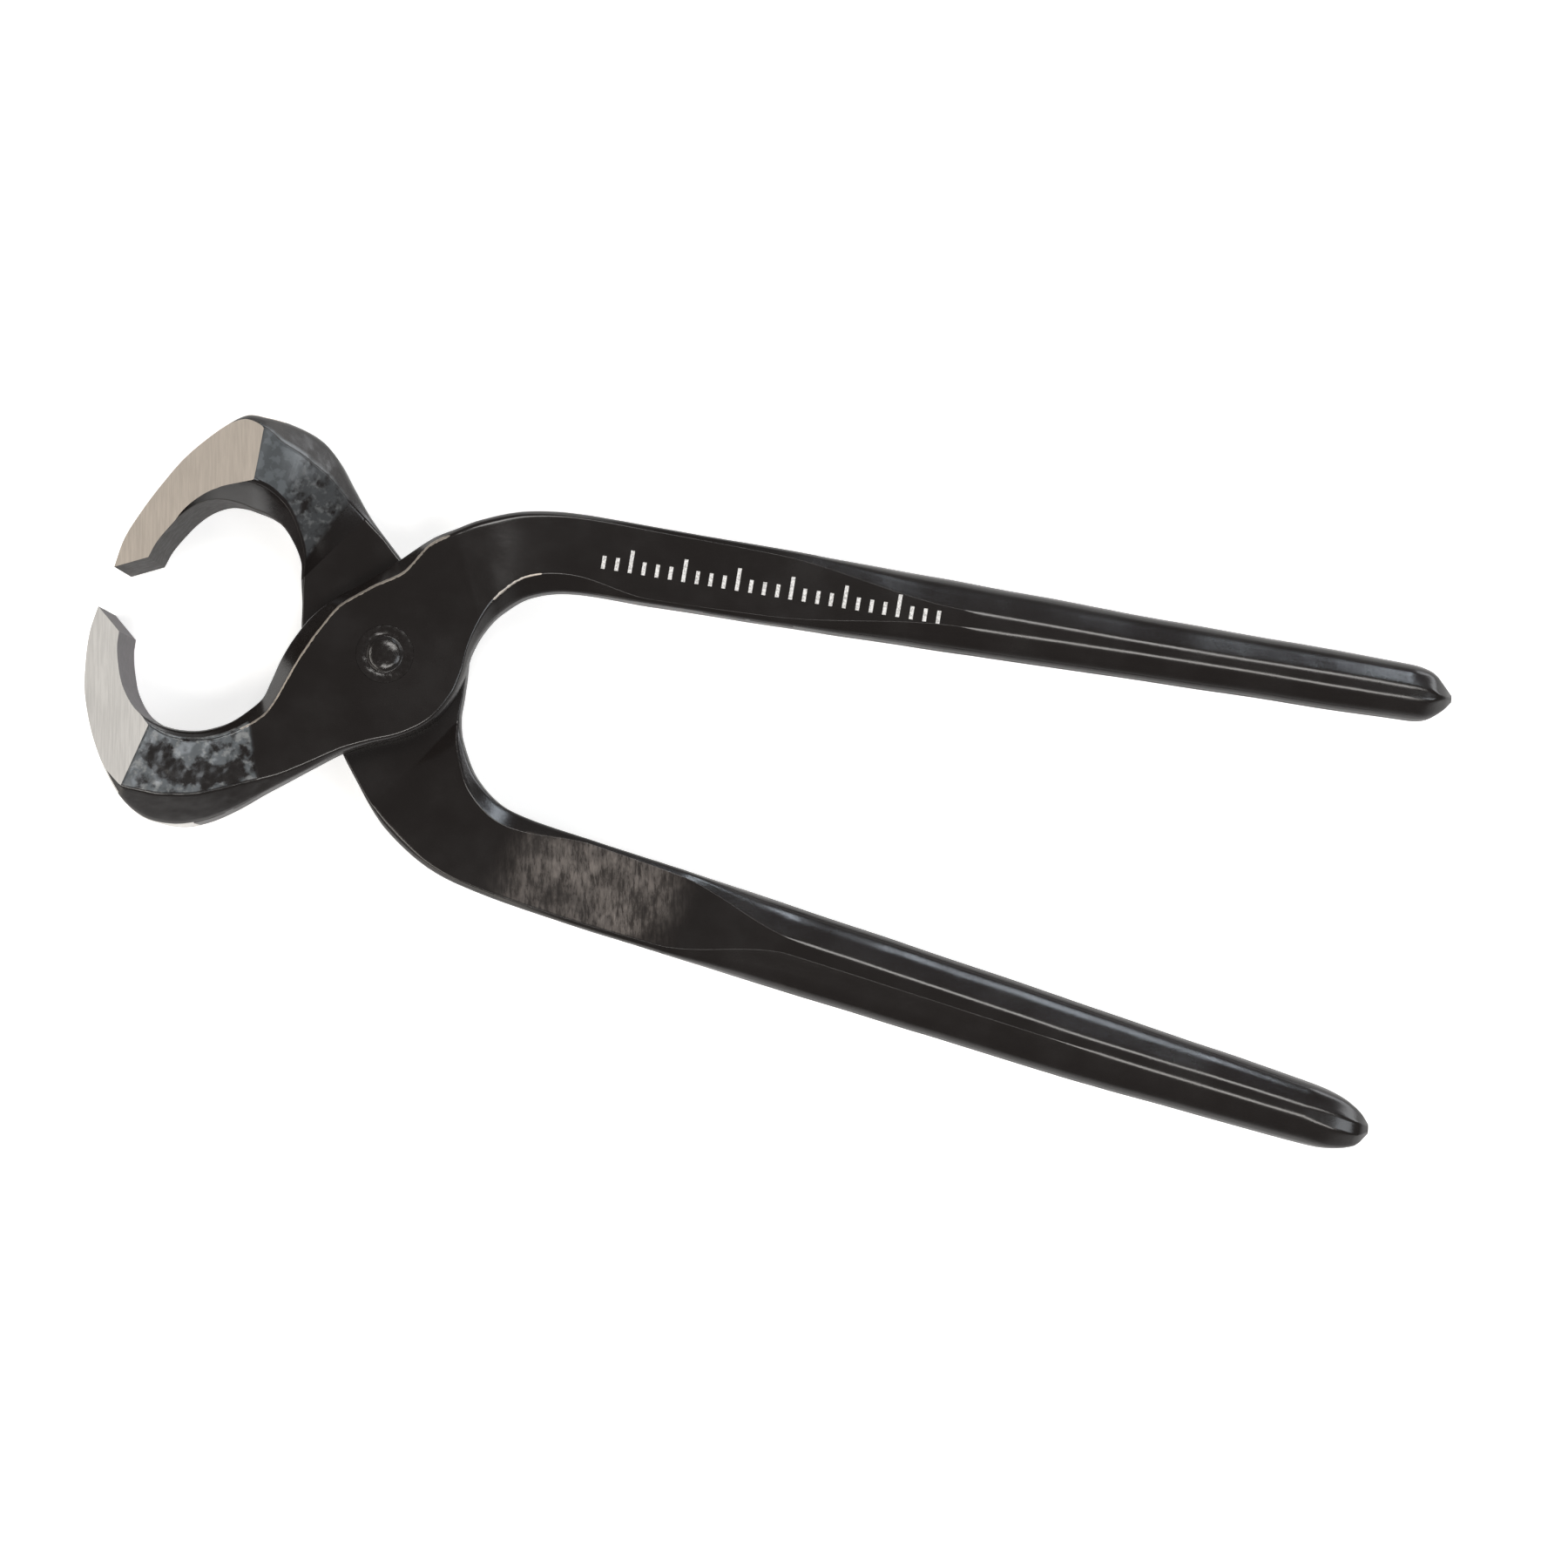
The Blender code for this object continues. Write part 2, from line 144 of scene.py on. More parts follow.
REAR_PLAN = [
    ((-45.9, -7.0), (-51.6, -3.8)),
    ((-45.1, -10.0), (-51.0, -9.3)),
    ((-43.6, -13.1), (-49.2, -14.7)),
    ((-41.6, -16.4), (-46.7, -20.5)),
    ((-39.1, -19.1), (-43.5, -26.6)),
    ((-36.2, -20.6), (-38.9, -32.6)),
    ((-33.2, -20.9), (-34.7, -36.7)),
    ((-30.3, -20.6), (-30.9, -37.2)),
    ((-27.4, -20.1), (-26.3, -37.2)),
    ((-24.2, -18.7), (-21.0, -35.8)),
    ((-21.5, -16.0), (-17.1, -32.8)),
    ((-19.7, -13.1), (-13.8, -29.0)),
    ((-19.1, -9.9), (-9.7, -24.6)),
    ((-17.9, -6.0), (-5.5, -21.0)),
    ((-16.8, -1.0), (0.0, -16.8)),
    ((-15.0, 3.6), (6.2, -14.0)),
    ((-11.8, 8.2), (11.0, -10.0)),
    ((-8.0, 13.8), (13.9, -4.9)),
    ((-3.8, 19.7), (14.8, -0.5)),
    ((0.1, 24.2), (15.3, 4.0)),
    ((3.5, 28.0), (15.7, 8.1)),
    ((7.6, 31.5), (17.2, 12.2)),
    ((15.8, 36.0), (21.7, 18.4)),
    ((24.4, 38.3), (28.7, 22.4)),
    ((44.0, 40.4), (45.5, 24.3)),
    ((62.0, 41.6), (63.4, 25.8)),
    ((84.0, 43.05), (85.4, 27.6)),
    ((140.0, 46.5), (141.2, 32.7)),
    ((183.0, 48.1), (184.6, 36.9)),
    ((189.2, 47.9), (190.3, 38.1)),
    ((194.3, 46.2), (194.0, 40.0)),
    ((196.2, 43.5), (195.9, 41.8)),
]

# The rear lever's under bevels on its handle, against the table's: section, width added at side A, width
# added at side B, share of the depth at side B.
SLIM_RIDGE = [
    ("flat_end", 0.0, 0.0, 1.0),
    ("ridge_start", 1.5, 1.1, 1.0),
    ("ridge_middle", 1.2, 1.1, 1.0),
    ("ridge_end", 0.6, 0.4, 0.84),
    ("point_start", 0.0, 0.0, 0.9),
]

# How round the corners are along a forging: section, radius where a bevel meets a broad face, radius
# where a bevel meets a side. On a handle RIDGE_LINES can make the first one smaller.
ROUNDING = [
    ("edge", 0.4, 0.4),
    ("face_crest", 0.5, 1.2),
    ("claw", 0.9, 2.2),
    ("claw_root", 1.1, 2.0),
    ("flare_end", 0.8, 0.8),
    ("handle_root", 0.8, 0.8),
    ("bend_1", 1.5, 1.0),
    ("bend_3", 0.4, 1.0),
    ("flat_start", 0.15, 1.0),
    ("flat_end", 0.3, 1.6),
    ("ridge_start", 3.0, 4.0),
    ("ridge_end", 3.0, 4.0),
    ("point_start", 1.5, 2.0),
    ("point", 0.3, 0.3),
]

# Where a handle's four ridge lines come up: section, how far past it the line begins, and how far past it
# the line is full. In the order of the corners OVER_A, OVER_B, UNDER_B and UNDER_A.
RIDGE_LINES = [
    ("ridge_start", 0.0, 3.0),
    ("ridge_start", 0.0, 3.0),
    ("ridge_start", -2.0, 3.0),
    ("ridge_middle", -6.0, 6.0),
]
LINE_RADII = (0.15, 3.0)  # of a ridge line before it begins and when it is full

# The corners of a section's outline, in order around it. A point of the skin is counted with the corner
# that it rounds off or follows.
SIDE_A_OVER, OVER_A, OVER_B, SIDE_B_OVER, SIDE_B_UNDER, UNDER_B, UNDER_A, SIDE_A_UNDER = range(8)
FINE_STEP, HANDLE_STEP = 0.45, 0.9  # spacing of the skin's rings on the head and on the handles
LEAST_RINGS = 3  # from one section to the next
ARC_POINTS = 5  # on each rounded corner
EDGE_POINTS = (3, 40, 4, 9, 4, 40, 3, 9)  # between one corner's rounding and the next's
LONGEST_REACH = 0.45  # the share of an edge that one corner's rounding can take

CORE_END = -3.0  # how far past flare_end the flare's dark core, with less painted reflection, ends
# Where along a forging each mark lies: first section, how far past it the mark starts, last section, how
# far past it the mark ends, and the distance over which it fades.
MARKS = {
    # The flare, under_flare, even and core marks place the flares' rough bumps and their painted bluish
    # reflection; arc places a painted highlight.
    "flare": ("face_crest", 0.3, "flare_end", -0.4, 0.5),
    "under_flare": ("lap_crest", 0.5, "neck", 0.0, 1.5),
    "even": ("lap_crest", -1.0, "lap_crest", 5.5, 3.5),
    "core": ("face_crest", 2.5, "flare_end", CORE_END, 2.0),
    "crest": ("flare_end", -1.5, "handle_root", 2.0, 1.5),
    "arc": ("bend_1", 1.0, "bend_2", 1.5, 3.0),
    "filed_sheen": ("bend_3", 13.0, "flat_start", 10.0, 12.0),
    "claw": ("face_crest", 0.5, "neck", 0.0, 2.0),
}
FACE_DEPTH = 0.9  # a point deeper than this in a corner's rounding is past the edge of the broad face
UNDER_FLARE_SHARES = (0.4, 0.6)  # strength of the under flare's rough bumps and painted reflection: everywhere, and added on its even panel
CORE_MIDDLES = (0.33, 0.60)  # where across the face the flare's dark core, with less painted reflection, starts and ends
CORE_HALF, CORE_SOFT = 0.05, 0.13  # half the core's width and its fading edge, as shares of the face's
ARC_GLINT = 0.75  # strength of the painted highlight on the crest inside the handle's bend, against the wear on the crest along the boss

# The unevenness of the forging: height and wavelength of its swell, its ripple and its rough flares.
SWELL, SWELL_LENGTH = 0.035, 13.0
HANDLE_SWELL = 0.035  # added on the handles
RIPPLE, RIPPLE_LENGTH = 0.012, 3.6
ROUGHNESS, ROUGHNESS_LENGTH = 0.035, 2.4
NOISE_GAIN = 1.6  # brings the noise to between about -1 and 1
SEED_STEPS = (37.1, 11.7, 5.3)  # how far apart the noise of two seeds lies
FRONT_SEED, REAR_SEED = 3, 8

COATED, GROUND, WALL, SIDES = range(4)  # a lever's materials, in order
GROUND_BACK = -1.0  # how far past claw_root the back of a jaw is ground
WALL_SHORT = -3.0  # how far past face_crest the dull inside of the front jaw goes
STEEP = 0.3  # a side wall's normal rises less than this
FORGING_CREASE, TURNED_CREASE = math.radians(24), math.radians(50)  # a sharper edge is left unsmoothed


def monotone(station, values, at, creases):
    """Values at stations, on curves that never overshoot the given ones, with a kink at each crease."""
    result = np.empty((len(at), values.shape[1]))
    for first, last in zip(creases, creases[1:]):
        x, y = station[first : last + 1], values[first : last + 1]
        gap = np.diff(x)[:, None]
        rate = np.diff(y, axis=0) / gap
        slope = np.vstack([rate[:1], np.zeros((len(x) - 2, y.shape[1])), rate[-1:]])
        if len(x) > 2:
            weight_1, weight_2 = 2 * gap[1:] + gap[:-1], gap[1:] + 2 * gap[:-1]
            rising = rate[:-1] * rate[1:] > 0
            safe = np.where(rising, rate[:-1], 1), np.where(rising, rate[1:], 1)
            mean = (weight_1 + weight_2) / (weight_1 / safe[0] + weight_2 / safe[1])
            slope[1:-1] = np.where(rising, mean, 0)
        inside = (at >= x[0]) & (at <= x[-1])
        span = np.clip(np.searchsorted(x, at[inside], "right") - 1, 0, len(x) - 2)
        length = gap[span]
        t = (at[inside] - x[span])[:, None] / length
        result[inside] = (
            (2 * t**3 - 3 * t**2 + 1) * y[span]
            + (t**3 - 2 * t**2 + t) * slope[span] * length
            + (3 * t**2 - 2 * t**3) * y[span + 1]
            + (t**3 - t**2) * slope[span + 1] * length
        )
    return result


def along_curve(points, position):
    """Points at positions, counted in points, on the smooth curve through all the points."""
    start = np.minimum(position.astype(int), len(points) - 2)
    t = (position - start)[:, None]
    longer = np.vstack([2 * points[0] - points[1], points, 2 * points[-1] - points[-2]])
    p0, p1, p2, p3 = (longer[start + k] for k in range(4))

    def length(vectors):
        return np.linalg.norm(vectors, axis=1)[:, None]

    slope_1 = (p2 - p0) * length(p2 - p1) / (length(p2 - p1) + length(p1 - p0))
    slope_2 = (p3 - p1) * length(p2 - p1) / (length(p3 - p2) + length(p2 - p1))
    return (
        (2 * t**3 - 3 * t**2 + 1) * p1
        + (t**3 - 2 * t**2 + t) * slope_1
        + (3 * t**2 - 2 * t**3) * p2
        + (t**3 - t**2) * slope_2
    )


def rounded_outlines(corners, radius):
    """Each section's outline with its corners rounded, and how deep in a rounding each point lies."""
    before = corners - np.roll(corners, 1, axis=1)
    after = np.roll(corners, -1, axis=1) - corners
    length_before = np.linalg.norm(before, axis=2, keepdims=True)
    length_after = np.linalg.norm(after, axis=2, keepdims=True)
    before, after = before / length_before, after / length_after
    turn = np.arccos(np.clip((before * after).sum(axis=2, keepdims=True), -1, 1))
    reach = radius[..., None] * np.tan(turn / 2)
    enter = corners - before * np.minimum(reach, LONGEST_REACH * length_before)
    leave = corners + after * np.minimum(reach, LONGEST_REACH * length_after)
    points, corner_of, depth = [], [], []
    for corner, between in enumerate(EDGE_POINTS):
        first, middle, last = enter[:, corner], corners[:, corner], leave[:, corner]
        for t in np.linspace(0, 1, ARC_POINTS):
            points.append((1 - t) ** 2 * first + 2 * t * (1 - t) * middle + t**2 * last)
            corner_of.append(corner)
            depth.append(1 - abs(2 * t - 1))
        following = enter[:, (corner + 1) % len(EDGE_POINTS)]
        for step in range(1, between + 1):
            share = step / (between + 1)
            points.append(last * (1 - share) + following * share)
            corner_of.append(corner)
            depth.append(0.0)
    return np.stack(points, axis=1), np.array(corner_of), np.array(depth)


def window(values, start, end, soft):
    """1 between start and end, falling smoothly to 0 over a distance outside them."""
    rise = np.clip((values - (start - soft)) / soft, 0, 1)
    fall = np.clip(((end + soft) - values) / soft, 0, 1)
    both = np.minimum(rise, fall)
    return both * both * (3 - 2 * both)


def forging_skin(plan, slim_ridge):
    """The forging's skin as a grid of points (ring, point, xyz), and where each point lies on it.

    That is: the distance along the forging of each ring and of each section, the corner that each point of
    a ring belongs to and how deep in its rounding it is, and each point's share of the way across.
    """
    side_a = np.array([pair[0] for pair in plan])
    side_b = np.array([pair[1] for pair in plan])
    steps = np.linalg.norm(np.diff((side_a + side_b) / 2, axis=0), axis=1)
    station = np.concatenate([[0], np.cumsum(steps)])
    position = []
    for span, length in enumerate(steps):
        step = FINE_STEP if span < AT["flat_start"] else HANDLE_STEP
        count = max(LEAST_RINGS, math.ceil(length / step))
        position.append(span + np.arange(count) / count)
    position = np.concatenate(position + [[len(FORGING) - 1]])
    at = np.interp(position, np.arange(len(FORGING)), station)

    sizes = np.array([np.concatenate([np.atleast_1d(v) for v in section[1:]]) for section in FORGING])
    creases = [AT[name] for name in CREASES]
    over, under, oa_in, oa_down, ob_in, ob_down, ua_in, ua_up, ub_in, ub_up = monotone(
        station, sizes, at, creases
    ).T
    if slim_ridge:
        names, wider_a, wider_b, lower_b = zip(*SLIM_RIDGE)
        stages = [station[AT[name]] for name in names]
        ua_in = ua_in + np.interp(at, stages, wider_a)
        ub_in = ub_in + np.interp(at, stages, wider_b)
        ub_up = ub_up * np.interp(at, stages, lower_b)
    start, end = along_curve(side_a, position), along_curve(side_b, position)
    width = np.linalg.norm(end - start, axis=1)
    across = (end - start) / width[:, None]
    none = np.zeros_like(width)
    corners = np.stack(
        [
            np.stack([none, over - oa_down], 1),
            np.stack([oa_in, over], 1),
            np.stack([width - ob_in, over], 1),
            np.stack([width, over - ob_down], 1),
            np.stack([width, under + ub_up], 1),
            np.stack([width - ub_in, under], 1),
            np.stack([ua_in, under], 1),
            np.stack([none, under + ua_up], 1),
        ],
        axis=1,
    )
    known = [station[AT[name]] for name, _, _ in ROUNDING]
    face_radius = np.interp(at, known, [face for _, face, _ in ROUNDING])
    side_radius = np.interp(at, known, [side for _, _, side in ROUNDING])
    on_handle = at > station[AT["flat_start"]]
    crests = []
    for name, begin, full in RIDGE_LINES:
        growing = np.interp(at, (station[AT[name]] + begin, station[AT[name]] + full), LINE_RADII)
        crests.append(np.where(on_handle, np.minimum(growing, face_radius), face_radius))
    radius = np.stack([side_radius, *crests[:2], side_radius, side_radius, *crests[2:], side_radius], axis=1)
    outline, corner_of, depth = rounded_outlines(corners, radius)
    points = np.empty((*outline.shape[:2], 3))
    points[..., :2] = start[:, None] + across[:, None] * outline[..., :1]
    points[..., 2] = outline[..., 1]
    return points, at, station, corner_of, depth, outline[..., 0] / width[:, None]


def skin_normals(points):
    """Outward normals of a skin's grid, from its neighbours along and around it."""
    along = np.gradient(points, axis=0)
    around = np.roll(points, -1, axis=1) - np.roll(points, 1, axis=1)
    normals = np.cross(around, along)
    normals /= np.linalg.norm(normals, axis=2, keepdims=True)
    outward = points - points.mean(axis=1, keepdims=True)
    return normals if (normals * outward).sum() > 0 else -normals


def unevenness(points, wavelength, seed):
    """Smooth noise between about -1 and 1 at every point, with the given wavelength in millimetres."""
    offset = Vector([seed * step for step in SEED_STEPS])
    flat = points.reshape(-1, 3) / wavelength
    heights = np.array([noise.noise(Vector(p) + offset) for p in flat])
    return heights.reshape(points.shape[:-1]) * NOISE_GAIN


def uneven(points, at, station, corner_of, rough_flare, seed):
    """The skin pushed in and out like a drop forging's. Faces that lap the other lever stay flat."""
    lap = window(at, station[AT["neck"]], station[AT["bend_1"]], 1.0)[:, None]
    lapped = lap * np.isin(corner_of, (SIDE_B_UNDER, UNDER_B, UNDER_A, SIDE_A_UNDER))[None, :]
    handle = window(at, station[AT["bend_3"]], station[AT["point"]], 12.0)[:, None]
    crest = window(at, station[AT["jaw_tip"]], station[AT["face_crest"]], 2.5)[:, None]
    push = (SWELL + HANDLE_SWELL * handle) * unevenness(points, SWELL_LENGTH, seed)
    push += RIPPLE * unevenness(points, RIPPLE_LENGTH, seed + 1)
    push += ROUGHNESS * rough_flare * unevenness(points, ROUGHNESS_LENGTH, seed + 2)
    return points + skin_normals(points) * (push * (1 - lapped) * (1 - crest))[..., None]


def surface_marks(at, station, corner_of, depth, share):
    """How strongly each point of the skin carries each mark, by the mark's name: wear, file strokes and rough
    flares, and the painted reflections and highlight that go with some of them.
    """
    along = {}
    for name, (first, past_first, last, past_last, soft) in MARKS.items():
        start, end = station[AT[first]] + past_first, station[AT[last]] + past_last
        along[name] = window(at, start, end, soft)[:, None]
    over_face, under_face = ((corner_of == face) & (depth < FACE_DEPTH) for face in (OVER_A, UNDER_B))
    even = along["even"] * under_face[None, :]
    everywhere, on_panel = UNDER_FLARE_SHARES
    flare = along["flare"] * over_face[None, :]
    flare = flare + along["under_flare"] * under_face[None, :] * (everywhere + on_panel * even)
    core_ends = station[AT["face_crest"]], station[AT["flare_end"]] + CORE_END
    core_middle = np.interp(at, core_ends, CORE_MIDDLES)[:, None]
    core = along["core"] * window(share - core_middle, -CORE_HALF, CORE_HALF, CORE_SOFT)
    wear_and_glint = along["crest"] * (depth * (corner_of == OVER_A))[None, :]
    # The crest inside the handle's bend gets the same bare steel as a painted highlight.
    wear_and_glint = wear_and_glint + along["arc"] * (ARC_GLINT * depth * (corner_of == OVER_B))[None, :]
    return {
        "flare": flare,
        "even": even,
        "core": core * over_face[None, :],
        "wear_and_glint": wear_and_glint,
        "filed_sheen": along["filed_sheen"] * (corner_of == UNDER_B)[None, :],
        "claw": along["claw"] * np.isin(corner_of, (OVER_B, SIDE_B_OVER, SIDE_B_UNDER))[None, :],
    }


def bare_steel(at, station, corner_of, rear):
    """Which points of the skin lie on a jaw's ground outside, and which on its dull inside."""
    crest = station[AT["face_crest"]]
    nth = np.concatenate([np.arange(ARC_POINTS + between) for between in EDGE_POINTS])
    half_arc = ARC_POINTS // 2
    back = (corner_of == SIDE_B_OVER) & (nth >= half_arc) | (corner_of == SIDE_B_UNDER) & (nth < half_arc)
    back_end = station[AT["claw_root"]] + GROUND_BACK
    side_b = (corner_of == SIDE_B_OVER)[None, :]
    outer = (at[:, None] <= crest) & side_b | (at[:, None] <= back_end) & back[None, :]
    # On the rear jaw the dark wall tint, painted shade, runs on to flare_end.
    wall_end = station[AT["flare_end"]] if rear else crest + WALL_SHORT
    inner = (at[:, None] <= wall_end) & (corner_of == SIDE_A_UNDER)[None, :]
    return outer, inner


def grind_jaw_sides(bm):
    """Cuts both sides of the raw jaw off flat and gives the two cut faces the bare steel."""
    for side in (1, -1):
        everything = bm.verts[:] + bm.edges[:] + bm.faces[:]
        level = PIVOT + Vector((0, 0, side * JAW_HALF * MM))
        cut = bmesh.ops.bisect_plane(
            bm, geom=everything, plane_co=level, plane_no=(0, 0, side), clear_outer=True
        )
        edges = [item for item in cut["geom_cut"] if isinstance(item, bmesh.types.BMEdge)]
        made = bmesh.ops.contextual_create(bm, geom=edges)
        for face in made["faces"]:
            face.material_index = GROUND


def crease(bm, sharp_angle):
    """Smooth shading, with sharp edges at sharp angles and where lacquer, ground steel and walls meet."""
    for face in bm.faces:
        face.smooth = True
    for edge in bm.edges:
        faces = edge.link_faces
        if len(faces) == 2:
            kinds = {face.material_index for face in faces}
            same = len(kinds) == 1 or kinds == {COATED, SIDES}
            edge.smooth = same and faces[0].normal.angle(faces[1].normal, 0) < sharp_angle


def mesh_from(bm, name):
    """A new mesh of what the bmesh holds, which is freed."""
    mesh = bpy.data.meshes.new(name)
    bm.to_mesh(mesh)
    bm.free()
    return mesh


def placed(name, mesh, materials):
    """A new object in the scene with its materials in order."""
    thing = bpy.data.objects.new(name, mesh)
    bpy.context.scene.collection.objects.link(thing)
    for material in materials:
        mesh.materials.append(material)
    return thing


def turned_mesh(name, outline, sides, hammered=0.0):
    """A turned solid from an outline of (radius, height) in millimetres, on the rivet's axis."""
    bm = bmesh.new()
    rings = []
    for radius, height in outline:
        count = sides if radius > 0 else 1
        ring = []
        for k in range(count):
            angle = math.tau * k / count
            spot = Vector((radius * math.cos(angle), radius * math.sin(angle), height))
            dent = hammered * noise.noise(spot * DENTS_PER_MM)
            spot.z += math.copysign(dent, height)
            ring.append(bm.verts.new(PIVOT + spot * MM))
        rings.append(ring)
    for low, high in zip(rings, rings[1:]):
        for k in range(sides):
            corners = [low[k % len(low)], low[(k + 1) % len(low)]]
            corners += [high[(k + 1) % len(high)], high[k % len(high)]]
            bm.faces.new(list(dict.fromkeys(corners)))
    bmesh.ops.recalc_face_normals(bm, faces=bm.faces)
    crease(bm, TURNED_CREASE)
    return mesh_from(bm, name)


RIVET_SHANK_R = 3.6
RIVET_HEAD_R = 5.3
RIVET_RIM = JOINT_HALF - 0.1  # height of the head's rim
RIVET_CONE = 1.9  # from the rim down to the foot of the countersink
RIVET_EDGE = 0.3  # from the rim down to the top of the countersink
RIVET_GAP = 0.04
# The head from the foot of its cone to the ring round its dome: radius, height above the rim.
RIVET_HEAD = [
    (RIVET_SHANK_R, -RIVET_CONE),
    (RIVET_HEAD_R, -RIVET_EDGE),
    (RIVET_HEAD_R, 0.04),
    (RIVET_HEAD_R - 0.4, 0.08),
    (RIVET_HEAD_R - 0.9, 0.08),
    (4.1, 0.05),
    (3.8, 0.0),
    (3.5, -0.05),
    (3.3, -0.05),
]
DOME_R, DOME_FOOT, DOME_RISE, DOME_TOP = 3.1, 0.05, 0.65, 0.7
DOME_STEPS = 12
HAMMERED = 0.08  # depth of the dents in the head
DENTS_PER_MM = 0.7
HOLE_OVERRUN = 2.0
ROUND_SIDES = 96


def mirrored(upper):
    """An outline's upper half and its mirror image below."""
    return [(radius, -height) for radius, height in reversed(upper)] + upper


def cut_rivet_hole(lever):
    """Cuts the countersunk rivet hole through a lever."""
    shank, head = RIVET_SHANK_R + RIVET_GAP, RIVET_HEAD_R + RIVET_GAP
    above = JOINT_HALF + HOLE_OVERRUN
    upper = [(shank, RIVET_RIM - RIVET_CONE), (head, RIVET_RIM - RIVET_EDGE), (head, above), (0, above)]
    cutter = placed("rivet_hole", turned_mesh("rivet_hole", mirrored(upper), ROUND_SIDES), [])
    hole = lever.modifiers.new("rivet hole", "BOOLEAN")
    hole.operation = "DIFFERENCE"
    hole.object = cutter
    bpy.context.view_layer.update()
    evaluated = lever.evaluated_get(bpy.context.evaluated_depsgraph_get())
    cut_mesh = bpy.data.meshes.new_from_object(evaluated)
    lever.modifiers.clear()
    lever.data = cut_mesh
    bpy.data.objects.remove(cutter)


def make_lever(name, plan, rear, seed, materials):
    """One forging. Its materials are lacquer, ground steel, dull wall steel and the sides' duller lacquer."""
    points, at, station, corner_of, depth, share = forging_skin(plan, rear)
    marks = surface_marks(at, station, corner_of, depth, share)
    points = uneven(points, at, station, corner_of, marks["flare"] * (1 - marks["even"]), seed)
    outer, inner = bare_steel(at, station, corner_of, rear)
    if rear:  # turned over about the tool's long axis
        points = points * np.array([1, -1, -1])

    rings, around = points.shape[:2]
    bm = bmesh.new()
    for mark in marks:
        bm.verts.layers.float.new(mark)
    layers = {mark: bm.verts.layers.float[mark] for mark in marks}
    world = points.reshape(-1, 3) * MM + np.array(PIVOT)
    verts = [bm.verts.new(spot) for spot in world.tolist()]
    for mark, values in marks.items():
        for vert, value in zip(verts, np.broadcast_to(values, (rings, around)).ravel().tolist()):
            vert[layers[mark]] = value
    for ring in range(rings - 1):
        for k in range(around):
            after = (k + 1) % around
            here, there = ring * around, (ring + 1) * around
            corners = here + k, here + after, there + after, there + k
            face = bm.faces.new([verts[corner] for corner in corners])
            both = ring + 1, k
            face.material_index = GROUND if outer[both] else WALL if inner[both] else COATED
    bm.faces.new(verts[:around]).material_index = WALL
    bm.faces.new(verts[-around:])
    bmesh.ops.recalc_face_normals(bm, faces=bm.faces)
    grind_jaw_sides(bm)
    bmesh.ops.recalc_face_normals(bm, faces=bm.faces)
    for face in bm.faces:
        if face.material_index == COATED and abs(face.normal.z) < STEEP:
            face.material_index = SIDES
    lever = placed(name, mesh_from(bm, name), materials)
    cut_rivet_hole(lever)
    bm = bmesh.new()
    bm.from_mesh(lever.data)
    crease(bm, FORGING_CREASE)
    bm.to_mesh(lever.data)
    bm.free()
    return lever


def make_rivet(name, material):
    """The rivet: countersunk heads with a flat rim, a shallow ring and a peened dome."""
    head = [(radius, RIVET_RIM + height) for radius, height in RIVET_HEAD]
    dome = []
    for step in range(DOME_STEPS, 0, -1):
        angle = math.radians(90 * step / DOME_STEPS)
        dome.append((DOME_R * math.sin(angle), RIVET_RIM + DOME_FOOT + DOME_RISE * math.cos(angle)))
    upper = head + dome + [(0, RIVET_RIM + DOME_TOP)]
    mesh = turned_mesh(name, mirrored(upper), ROUND_SIDES, hammered=HAMMERED)
    return placed(name, mesh, [material])


# ---------------------------------------------------------------- print on the handle

PRINT_FROM, PRINT_TO = 35.0, 97.5  # along the tool, from the rivet
PRINT_LINE = (44.0, 27.5), (90.0, 30.8)  # two places on the line through the ticks' middles
TICK_SPACING = 2.5
TICK_WIDTH = 0.7
TICK_HEIGHTS = (2.4, 2.4, 4.2, 2.4)  # a long tick every fourth
PRINT_THICKNESS = 0.03
PRINT_SUNK = 0.02  # into the lacquer
PRINT_ABOVE = 20.0  # the height from which it is cast down on the handle


def make_print(name, lever, material):
    """A plain scale of evenly spaced ticks, printed on the upper handle's flat."""
    tree = bvhtree.BVHTree.FromObject(lever, bpy.context.evaluated_depsgraph_get())
    start, end = map(Vector, PRINT_LINE)
    along = (end - start).normalized()
    across = Vector((-along.y, along.x))
    bm = bmesh.new()
    count = int((PRINT_TO - PRINT_FROM) / TICK_SPACING) + 1
    for tick in range(count):
        height = TICK_HEIGHTS[tick % len(TICK_HEIGHTS)]
        middle = start + along * (PRINT_FROM - start.x + tick * TICK_SPACING)
        foot = middle - across * (max(TICK_HEIGHTS) / 2)
        corners = []
        for side, rise in ((-1, 0), (1, 0), (1, height), (-1, height)):
            spot = foot + along * (side * TICK_WIDTH / 2) + across * rise
            above = PIVOT + Vector((spot.x, spot.y, PRINT_ABOVE)) * MM
            hit = tree.ray_cast(above, Vector((0, 0, -1)))[0]
            corners.append(hit)
        low = [bm.verts.new(spot + Vector((0, 0, -PRINT_SUNK * MM))) for spot in corners]
        high = [bm.verts.new(spot + Vector((0, 0, PRINT_THICKNESS * MM))) for spot in corners]
        bm.faces.new(high)
        bm.faces.new(reversed(low))
        for k in range(4):
            after = (k + 1) % 4
            bm.faces.new((low[k], low[after], high[after], high[k]))
    bmesh.ops.recalc_face_normals(bm, faces=bm.faces)
    return placed(name, mesh_from(bm, name), [material])


# ---------------------------------------------------------------- materials


